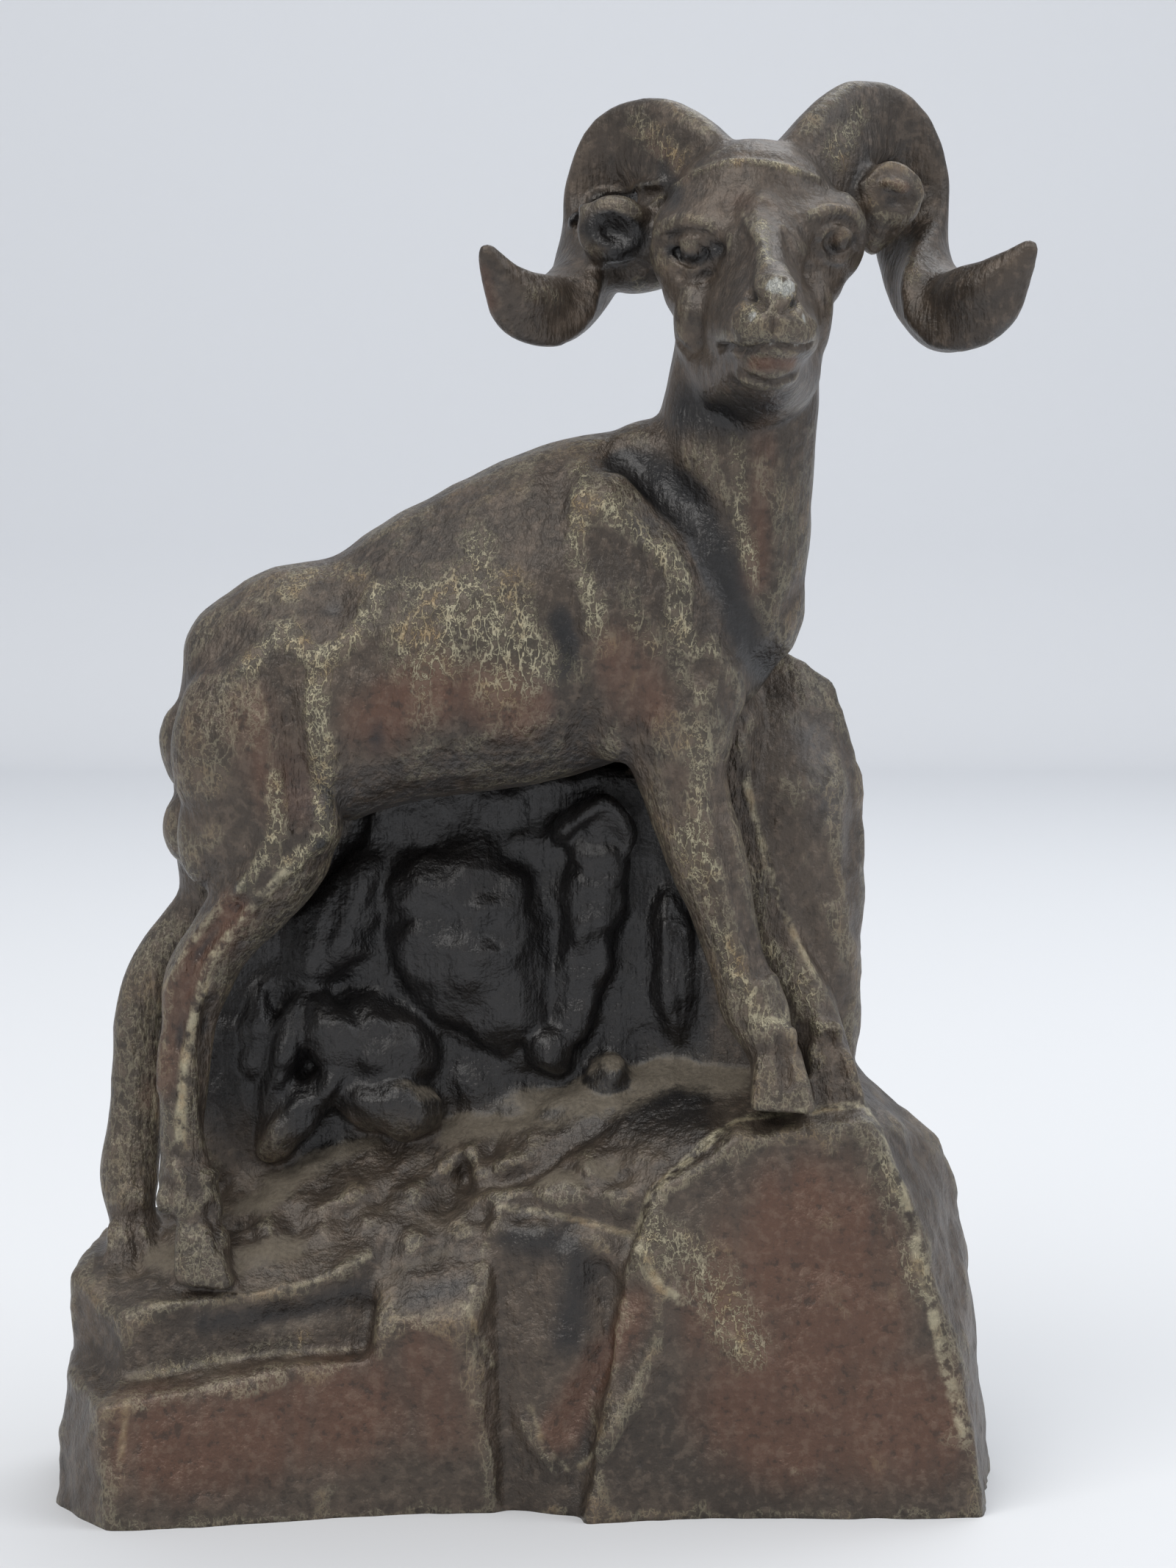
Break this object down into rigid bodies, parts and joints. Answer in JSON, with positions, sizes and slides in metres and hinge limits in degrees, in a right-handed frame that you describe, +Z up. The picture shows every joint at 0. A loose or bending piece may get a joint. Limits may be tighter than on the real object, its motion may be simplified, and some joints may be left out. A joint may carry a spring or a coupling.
{
  "type": "bighorn sheep coin bank",
  "caption": "Hollow cast metal ram standing on a rock, a coin bank with a slot in its back, a cover in its foot and a stopper.",
  "frame": {"origin": "on the surface the bank stands on, under the middle of its box", "axes": "+X along the ram towards its chest, -Y the side that shows with the ram's face, +Z up"},
  "size_m": [0.1096, 0.0538, 0.1605],
  "materials": {
    "bronzed_metal": "worn dark bronze patina over cast white metal, tan wear on the high places, dust on the ledges",
    "cover_plate": "plain dark sheet, slightly glossy",
    "stopper_rubber": "matt black rubber"
  },
  "bodies": {
    "root": {"casting": "bronzed_metal", "base_cover": "cover_plate", "coin_stopper": "stopper_rubber"}
  },
  "joints": []
}
